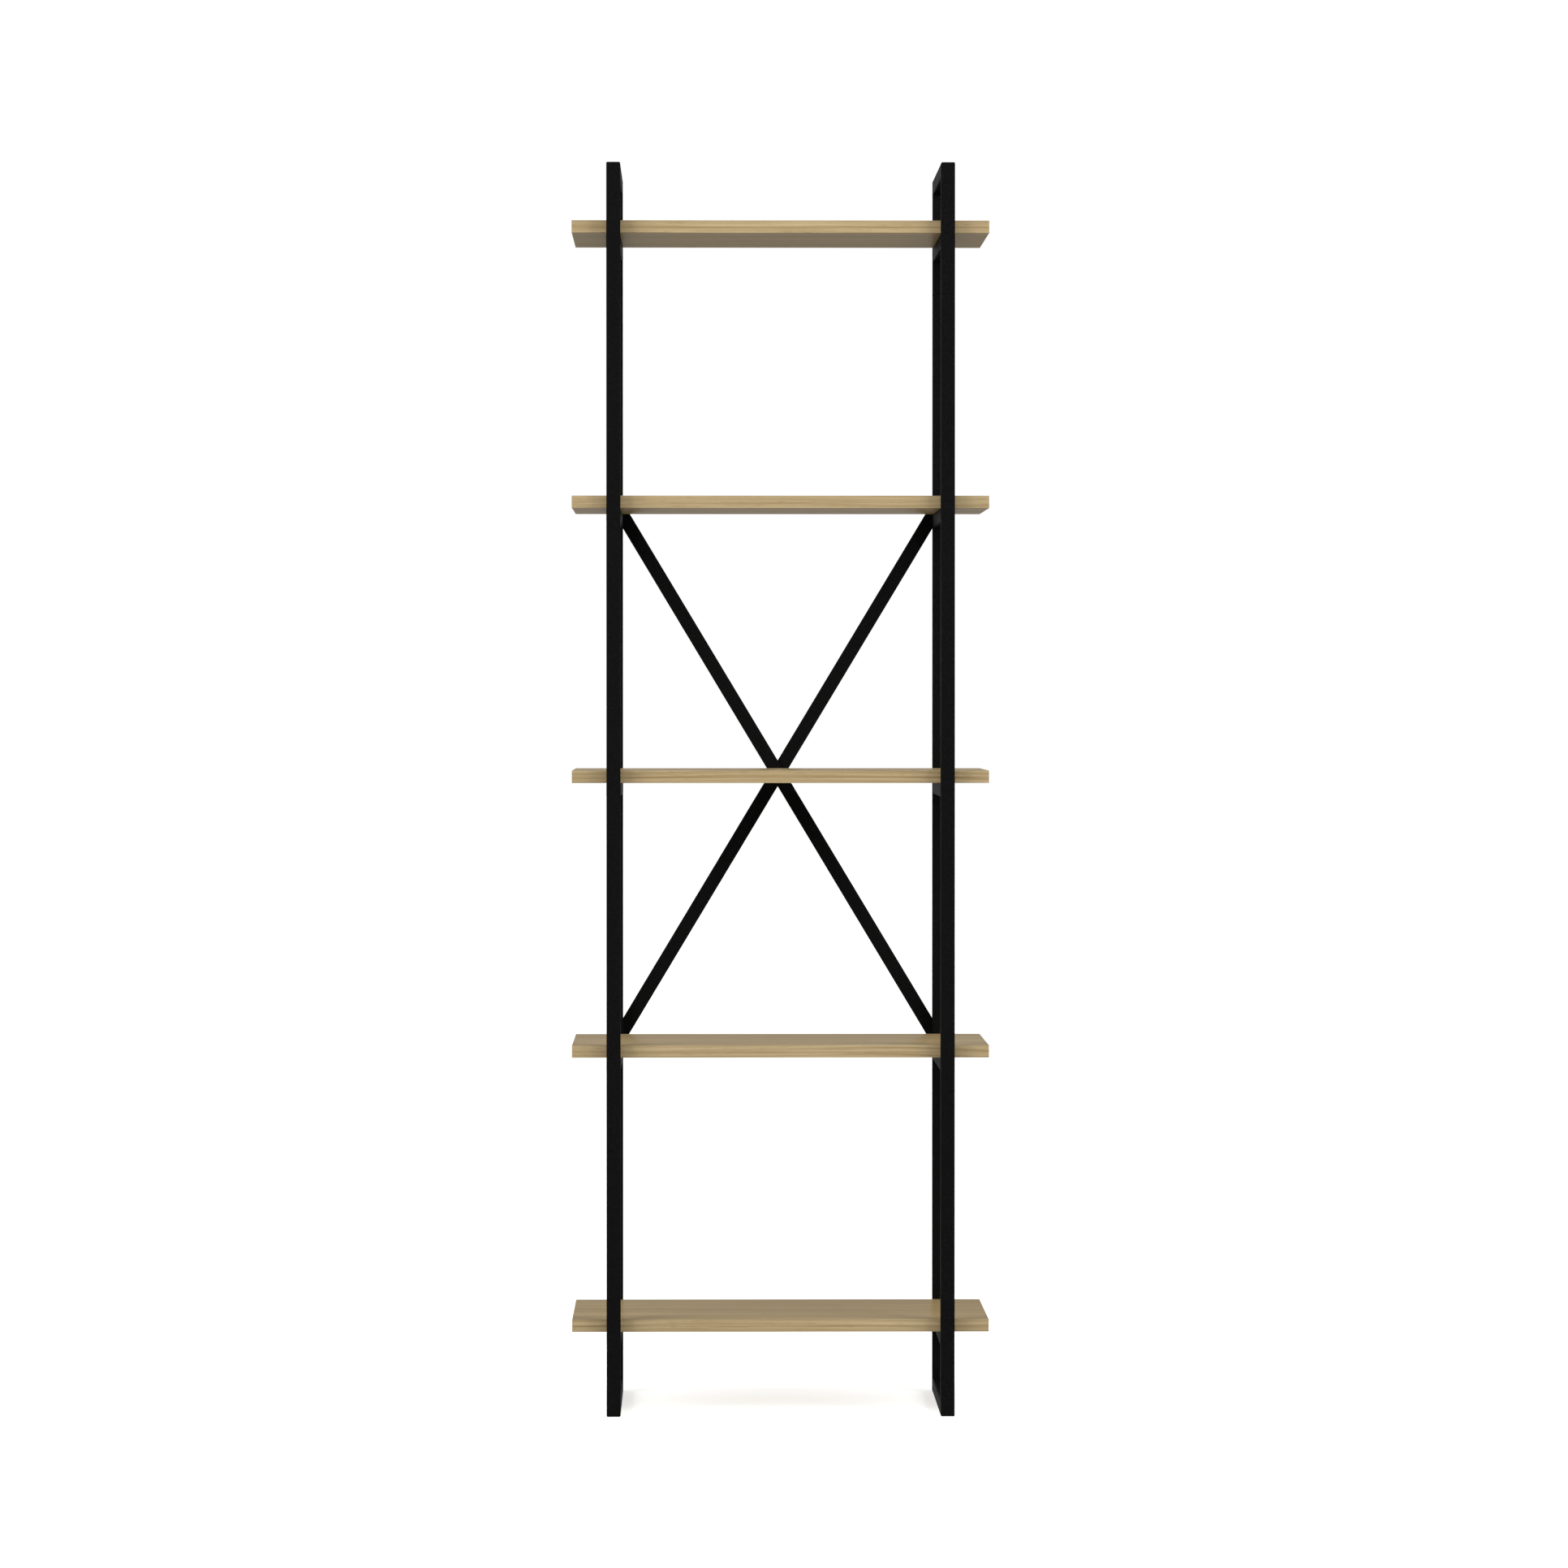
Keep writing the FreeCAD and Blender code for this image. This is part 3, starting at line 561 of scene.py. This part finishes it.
class Welds(bpy.types.Operator):
    """Models the weld beads of both side frames: fillets in corners and dressed seams beside the rails."""

    bl_idname = "bookcase.welds"
    bl_label = "Welds"

    def execute(self, context):
        sizes = context.scene.bookcase_sizes
        coat = shared(COAT, powder_coat, context.scene.bookcase_colours)
        # A bead covers the flat of a tube's side, between its rounded corners.
        flat_share = 0.84
        low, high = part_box("left_front_post")
        flat = (high.x - low.x) * flat_share
        fillet = open_piece("fillet_weld", bpy.ops.mesh.primitive_circle_add,
                            vertices=16, radius=sizes.weld_leg, fill_type="NGON")
        for leg in ((1, 0, 0), (0, 1, 0)):
            bpy.ops.mesh.select_all(action="SELECT")
            bpy.ops.mesh.bisect(plane_co=(0, 0, 0), plane_no=leg, clear_inner=True)
        bpy.ops.mesh.select_all(action="SELECT")
        bpy.ops.mesh.delete(type="ONLY_FACE")
        ripple(fillet, sizes.weld_ripple, flat)
        seam = open_piece("seam_weld", bpy.ops.mesh.primitive_circle_add,
                          vertices=12, radius=sizes.weld_wide / 2)
        bpy.ops.transform.resize(value=(1, 2 * sizes.weld_proud / sizes.weld_wide, 1))
        ripple(seam, sizes.weld_ripple, flat)
        for side in SIDES:
            self.weld_frame(side, fillet, seam, sizes, coat)
        for master in (fillet, seam):
            bpy.data.objects.remove(master)
        return {"FINISHED"}

    def weld_frame(self, side, fillet, seam, sizes, coat):
        """Places the beads of one side frame."""
        # A fillet sinks a little into its corner, and a seam lies more on the post than on the rail.
        sunk = 0.15 * MM
        seam_aside = sizes.weld_wide * 0.2
        low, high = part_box(f"{side}_front_post")
        middle = middle_of(f"{side}_front_post").x
        # The inner faces of the two posts, and the way from each into the frame.
        faces = ((high.y, 1), (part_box(f"{side}_rear_post")[0].y, -1))
        # A fillet's own X and Y are the two legs of its corner, and its own Z lies along X.
        along_x = Matrix(((0, 0, 1, 0), (1, 0, 0, 0), (0, 1, 0, 0), (0, 0, 0, 1)))
        # Degrees that it turns about X to fit a corner, by the way into the frame and the way up or down.
        quarters = {(1, UP): 0, (-1, UP): 90, (-1, DOWN): 180, (1, DOWN): 270}
        corners = [(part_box(f"{side}_bottom_rail")[1].z, UP), (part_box(f"{side}_top_rail")[0].z, DOWN)]
        corners += [(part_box(f"{side}_shelf_rail_{number}")[0].z, DOWN) for number in SHELVES]
        places = []
        for z, way in corners:
            for y, inward in faces:
                spot = Matrix.Translation((middle, y - inward * sunk, z - way * sunk))
                turn = Matrix.Rotation(math.radians(quarters[(inward, way)]), 4, "X")
                places.append(spot @ turn @ along_x)
        settle(copies(f"{side}_frame_fillet_welds", fillet, places), coat, "black_powder_coat")
        # A seam's own X lies across the seam, and its own Y out of the face.
        across = Matrix.Rotation(math.radians(90), 4, "Z")
        places = []
        for number in SHELVES:
            height = middle_of(f"{side}_shelf_rail_{number}").z
            for y, inward in faces:
                for x in (low.x, high.x):
                    places.append(Matrix.Translation((x, y - inward * seam_aside, height)) @ across)
        settle(copies(f"{side}_frame_seam_welds", seam, places), coat, "black_powder_coat")


class Shelves(bpy.types.Operator):
    """Gives each shelf its own cut of the oak print, on the board and on its four edge bands."""

    bl_idname = "bookcase.shelves"
    bl_label = "Shelves"

    def execute(self, context):
        colours = context.scene.bookcase_colours
        # How far on in the print the next shelf's boards and bands are cut.
        board_step = 5.3
        band_step = 4.1
        for number in SHELVES:
            board = f"shelf_{number}_board"
            paint([board], melamine_oak(f"melamine_oak_decor_{number}", colours, board, number * board_step))
            for way, bands, turn in (("long", LONG_BANDS, 0), ("end", END_BANDS, math.pi / 2)):
                nodes = [f"shelf_{number}_{band}" for band in bands]
                seed = number * band_step + turn
                paint(nodes, abs_oak(f"abs_oak_{way}_band_{number}", colours, nodes[0], turn, seed))
        return {"FINISHED"}


class ShelfScrews(bpy.types.Operator):
    """Models the pan-head screws under the shelf rails, with cross recess, thread and point."""

    bl_idname = "bookcase.shelf_screws"
    bl_label = "Shelf screws"

    def execute(self, context):
        zinc = shared(ZINC, zinc_plate, context.scene.bookcase_colours)
        screw = self.model(context.scene.bookcase_sizes)
        head_down = Matrix.Rotation(math.pi, 4, "X")
        for number in SHELVES:
            places = []
            for side in SIDES:
                rail = f"{side}_shelf_rail_{number}"
                middle = middle_of(rail)
                places.append(Matrix.Translation((middle.x, middle.y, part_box(rail)[0].z)) @ head_down)
            piece = copies(f"shelf_{number}_pan_screws", screw, places)
            settle(piece, zinc, "zinc_plated_steel", f"shelf_{number}_screws")
        bpy.data.objects.remove(screw)
        return {"FINISHED"}

    def model(self, sizes):
        """One screw, its head above z = 0 and its thread below."""
        low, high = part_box("shelf_1_screws")
        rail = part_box("left_shelf_rail_1")[0].z
        head = (high.y - low.y) / 2
        tall = rail - low.z
        long = high.z - rail
        # The dome is a share of the head's height. The point is a share of the core, and the foot of the
        # recess a share of its top.
        dome = 0.62
        point = 0.08
        recess_foot = 0.42
        core = head * 0.36
        crest = head * 0.5
        pitch = 2.2 * MM
        shank = 3 * MM
        shank_and_point = 6 * MM
        screw = open_piece("pan_screw", bpy.ops.mesh.primitive_cylinder_add,
                           vertices=32, radius=head, depth=tall, location=(0, 0, tall / 2))
        pick(screw, "EDGE", at_height(tall))
        bpy.ops.mesh.bevel(offset=tall * dome, segments=6, affect="EDGES")
        pick(screw, "FACE", looking(DOWN))
        # Each turn of the thread goes up its flank, along its crest, down again and along the core.
        flank = pitch * 0.35
        crest_flat = pitch * 0.1
        core_flat = pitch * 0.2
        turn = [(-flank, crest / core), (-crest_flat, 1), (-flank, core / crest), (-core_flat, 1)]
        turns = int((long - shank_and_point) / pitch) - 1
        thread = [(0, core / head), (-shank, 1)] + turn * turns
        drawn = sum(far for far, _ in thread)
        draw_out(thread + [(-long - drawn, point)])
        close_piece()
        for quarter in (0, math.pi / 2):
            wing = open_piece("recess_wing", bpy.ops.mesh.primitive_cube_add,
                              size=1, location=(0, 0, tall), rotation=(0, 0, quarter),
                              scale=(sizes.recess_long, sizes.recess_wide, 2 * sizes.recess_deep))
            pick(wing, "FACE", looking(DOWN))
            bpy.ops.transform.resize(value=(recess_foot, recess_foot, 1), center_override=(0, 0, 0))
            close_piece()
            carve(screw, wing)
        return screw


class Brace(bpy.types.Operator):
    """Coats the two flat bars of the brace and plates its rivet nuts."""

    bl_idname = "bookcase.brace"
    bl_label = "Brace"

    def execute(self, context):
        colours = context.scene.bookcase_colours
        paint(BARS, shared(COAT, powder_coat, colours))
        paint(["brace_rivet_nuts"], shared(ZINC, zinc_plate, colours))
        return {"FINISHED"}


class BraceScrews(bpy.types.Operator):
    """Models the five button-head screws of the brace, with hexagon socket and thread."""

    bl_idname = "bookcase.brace_screws"
    bl_label = "Brace screws"

    def execute(self, context):
        oxide = black_oxide(context.scene.bookcase_colours)
        screw = self.model(context.scene.bookcase_sizes)
        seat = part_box("brace_straight_bar")[1].y
        head_back = Matrix.Rotation(-math.pi / 2, 4, "X")
        places = [Matrix.Translation((x, seat, z)) @ head_back for x, z in self.spots()]
        settle(copies("brace_button_screws", screw, places), oxide, "black_oxide_steel", "brace_screws")
        bpy.data.objects.remove(screw)
        return {"FINISHED"}

    def posts(self):
        """X of the middle of each rear post."""
        return [middle_of(f"{side}_rear_post").x for side in SIDES]

    def radius(self, node):
        """Radius of the fixings at the brace's ends: how far they reach past the middles of the posts."""
        low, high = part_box(node)
        left, right = self.posts()
        return (high.x - low.x - (right - left)) / 2

    def spots(self):
        """X and Z of the four end screws and of the one at the crossing."""
        low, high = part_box("brace_rivet_nuts")
        collar = self.radius("brace_rivet_nuts")
        crossing = middle_of("brace_crossing_nut")
        ends = [(x, z) for x in self.posts() for z in (low.z + collar, high.z - collar)]
        return ends + [(crossing.x, crossing.z)]

    def model(self, sizes):
        """One screw, its head above z = 0 and its thread below."""
        low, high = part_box("brace_screws")
        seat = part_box("brace_straight_bar")[1].y
        head = self.radius("brace_screws")
        tall = high.y - seat
        long = seat - low.y
        # The dome is a share of the head's height, the root a share of the thread's crest, and the end a
        # share of its root.
        dome = 0.72
        root = 0.82
        end = 0.92
        crest = 3 * MM
        pitch = 1 * MM
        screw = open_piece("button_screw", bpy.ops.mesh.primitive_cylinder_add,
                           vertices=48, radius=head, depth=tall, location=(0, 0, tall / 2))
        pick(screw, "EDGE", at_height(tall))
        bpy.ops.mesh.bevel(offset=tall * dome, segments=8, affect="EDGES")
        pick(screw, "FACE", looking(DOWN))
        # Each turn of the thread goes up its flank, along its crest and down again.
        flank = pitch * 0.45
        crest_flat = pitch * 0.1
        turn = [(-flank, 1 / root), (-crest_flat, 1), (-flank, root)]
        turns = round(long / pitch) - 1
        thread = [(0, crest * root / head), (-pitch / 2, 1)] + turn * turns
        drawn = sum(far for far, _ in thread)
        draw_out(thread + [(-long - drawn, end)])
        close_piece()
        # The socket ends in the blunt point that its drill leaves.
        drill_point = 0.5 * MM
        drill_tip = 0.2
        socket = open_piece("socket_cutter", bpy.ops.mesh.primitive_cylinder_add,
                            vertices=6, radius=sizes.socket_flats / math.sqrt(3),
                            depth=2 * sizes.socket_deep, location=(0, 0, tall))
        pick(socket, "FACE", looking(DOWN))
        draw_out([(-drill_point, drill_tip)])
        close_piece()
        carve(screw, socket)
        return screw


class CrossingNut(bpy.types.Operator):
    """Models the hexagon nut where the bars of the brace cross."""

    bl_idname = "bookcase.crossing_nut"
    bl_label = "Crossing nut"

    def execute(self, context):
        zinc = shared(ZINC, zinc_plate, context.scene.bookcase_colours)
        low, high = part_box("brace_crossing_nut")
        nut = self.model(corner=max(high.x - low.x, high.z - low.z) / 2, tall=high.y - low.y)
        middle = middle_of("brace_crossing_nut")
        place = Matrix.Translation((middle.x, high.y, middle.z)) @ Matrix.Rotation(math.pi / 2, 4, "X")
        piece = copies("brace_crossing_hexagon_nut", nut, [place])
        settle(piece, zinc, "zinc_plated_steel", "brace_crossing_nut")
        bpy.data.objects.remove(nut)
        return {"FINISHED"}

    def model(self, corner, tall):
        """One nut that stands on z = 0, with sloped corners and a countersunk bore."""
        bore = 3.05 * MM
        sink = 0.4 * MM
        slope = 0.9 * MM
        # The barrel that slopes the corners is this much wider than they are.
        barrel_share = 1.01
        centre = (0, 0, tall / 2)
        nut = open_piece("hexagon_nut", bpy.ops.mesh.primitive_cylinder_add,
                         vertices=6, radius=corner, depth=tall, location=centre)
        close_piece()
        barrel = open_piece("corner_slope", bpy.ops.mesh.primitive_cylinder_add,
                            vertices=48, radius=corner * barrel_share, depth=tall, location=centre)
        pick(barrel, "EDGE", lambda edge: abs(edge.verts[0].co.z - edge.verts[1].co.z) < TINY)
        bpy.ops.mesh.bevel(offset=slope, segments=1, affect="EDGES")
        close_piece()
        carve(nut, barrel, "INTERSECT")
        # The bore is countersunk at both faces, and its drill runs on past them.
        drill = open_piece("thread_bore", bpy.ops.mesh.primitive_cylinder_add,
                           vertices=48, radius=bore, depth=tall - 2 * sink, location=centre)
        for way in (UP, DOWN):
            pick(drill, "FACE", looking(way))
            draw_out([(way * 2 * sink, 1 + 2 * sink / bore)])
        close_piece()
        carve(nut, drill)
        return nut


class Stage(bpy.types.Operator):
    """Sets the pale floor, the soft light and the camera."""

    bl_idname = "bookcase.stage"
    bl_label = "Stage"

    def execute(self, context):
        stage = context.scene.bookcase_stage
        self.lay_floor(context.scene.bookcase_colours)
        self.light(context.scene, stage)
        self.set_camera(context.scene, stage)
        context.scene.view_settings.view_transform = "Standard"
        return {"FINISHED"}

    def lay_floor(self, colours):
        """A wide round floor at the height of the feet, with a broad rim."""
        radius = 40
        rim = 25
        floor = open_piece("studio_floor", bpy.ops.mesh.primitive_circle_add,
                           vertices=96, radius=radius, fill_type="NGON", location=(0, 0, CAD_LOW.z))
        bpy.ops.mesh.inset(thickness=rim)
        bpy.ops.object.mode_set(mode="OBJECT")
        floor.data.materials.append(pale_floor(colours))
        # Only the camera sees the floor, so its glare does not light the undersides of the shelves.
        floor.visible_diffuse = False
        floor.visible_glossy = False
        floor.visible_shadow = False

    def light(self, scene, stage):
        """A pale room, dimmer overhead and below, and a large softbox on either side."""
        world = bpy.data.worlds.new("pale_room")
        scene.world = world
        world.use_nodes = True
        tree = world.node_tree
        tree.nodes.clear()
        # A direction ends on a ball of radius 1. The ranges on it are where the front passes into the back,
        # and where the walls pass into the ceiling and the ground.
        direction = put(tree, "ShaderNodeTexCoord").outputs["Generated"]
        part = put(tree, "ShaderNodeSeparateXYZ", {0: direction})
        walls = put(tree, "ShaderNodeMapRange",
                    {"Value": part.outputs["Y"], "From Min": -0.6, "From Max": 0.4,
                     "To Min": stage.before, "To Max": stage.behind}, interpolation_type="SMOOTHSTEP")
        ceiling = put(tree, "ShaderNodeMapRange",
                      {"Value": part.outputs["Z"], "From Min": 0.2, "From Max": 0.6,
                       "To Min": 1, "To Max": stage.above})
        ground = put(tree, "ShaderNodeMapRange",
                     {"Value": part.outputs["Z"], "From Min": -0.5, "From Max": -0.06,
                      "To Min": stage.below, "To Max": 1})
        shade = put(tree, "ShaderNodeMath",
                    {0: ceiling.outputs[0], 1: ground.outputs[0]}, operation="MULTIPLY")
        level = put(tree, "ShaderNodeMath", {0: walls.outputs[0], 1: shade.outputs[0]}, operation="MULTIPLY")
        room = put(tree, "ShaderNodeBackground", {"Color": (1, 1, 1, 1), "Strength": level.outputs[0]})
        put(tree, "ShaderNodeOutputWorld", {"Surface": room.outputs[0]})
        # Where the softboxes stand in metres, aimed at the middle of the bookcase.
        aside = 3.0
        forward = 2.0
        height = 2.5
        aim = Vector((0, 0, (CAD_LOW.z + CAD_HIGH.z) / 2))
        for side, way in zip(SIDES, (-1, 1)):
            spot = Vector((way * aside, -forward, height))
            turn = (aim - spot).to_track_quat("-Z", "Y").to_euler()
            bpy.ops.object.light_add(type="AREA", location=spot, rotation=turn)
            softbox = bpy.context.object
            softbox.name = f"{side}_softbox"
            softbox.data.shape = "RECTANGLE"
            softbox.data.size = 2.2
            softbox.data.size_y = 2.6
            softbox.data.energy = stage.softbox

    def set_camera(self, scene, stage):
        """The camera at the photograph's place, looking slightly right and down."""
        bpy.ops.object.camera_add(
            location=(-stage.offset, -stage.distance, stage.eye),
            rotation=(math.pi / 2 - stage.tilt, 0, -stage.turn),
        )
        camera = bpy.context.object
        camera.data.sensor_width = stage.sensor
        camera.data.lens = stage.lens
        camera.data.clip_end = 100
        scene.camera = camera


STEPS = (SideFrames, Welds, Shelves, ShelfScrews, Brace, BraceScrews, CrossingNut, Stage)
GROUPS = {
    "bookcase_colours": BookcaseColours,
    "bookcase_sizes": BookcaseSizes,
    "bookcase_stage": BookcaseStage,
}


class BookcasePanel(bpy.types.Panel):
    """Sizes, colours and steps of the bookcase."""

    bl_idname = "VIEW3D_PT_bookcase"
    bl_label = "Bookcase"
    bl_space_type = "VIEW_3D"
    bl_region_type = "UI"
    bl_category = "Bookcase"

    def draw(self, context):
        for group, kind in GROUPS.items():
            box = self.layout.box()
            for name in kind.__annotations__:
                box.prop(getattr(context.scene, group), name)
        for step in STEPS:
            self.layout.operator(step.bl_idname)


CLASSES = (*GROUPS.values(), *STEPS, BookcasePanel)


def register():
    """Makes the steps, the panel and the settings known."""
    for kind in CLASSES:
        bpy.utils.register_class(kind)
    for group, kind in GROUPS.items():
        setattr(bpy.types.Scene, group, bpy.props.PointerProperty(type=kind))


def unregister():
    """Takes them away again."""
    for group in GROUPS:
        delattr(bpy.types.Scene, group)
    for kind in reversed(CLASSES):
        bpy.utils.unregister_class(kind)


def main():
    """Builds the bookcase around its frame."""
    register()
    bpy.ops.bookcase.side_frames()
    bpy.ops.bookcase.welds()
    bpy.ops.bookcase.shelves()
    bpy.ops.bookcase.shelf_screws()
    bpy.ops.bookcase.brace()
    bpy.ops.bookcase.brace_screws()
    bpy.ops.bookcase.crossing_nut()
    bpy.ops.bookcase.stage()


if __name__ == "__main__":
    main()
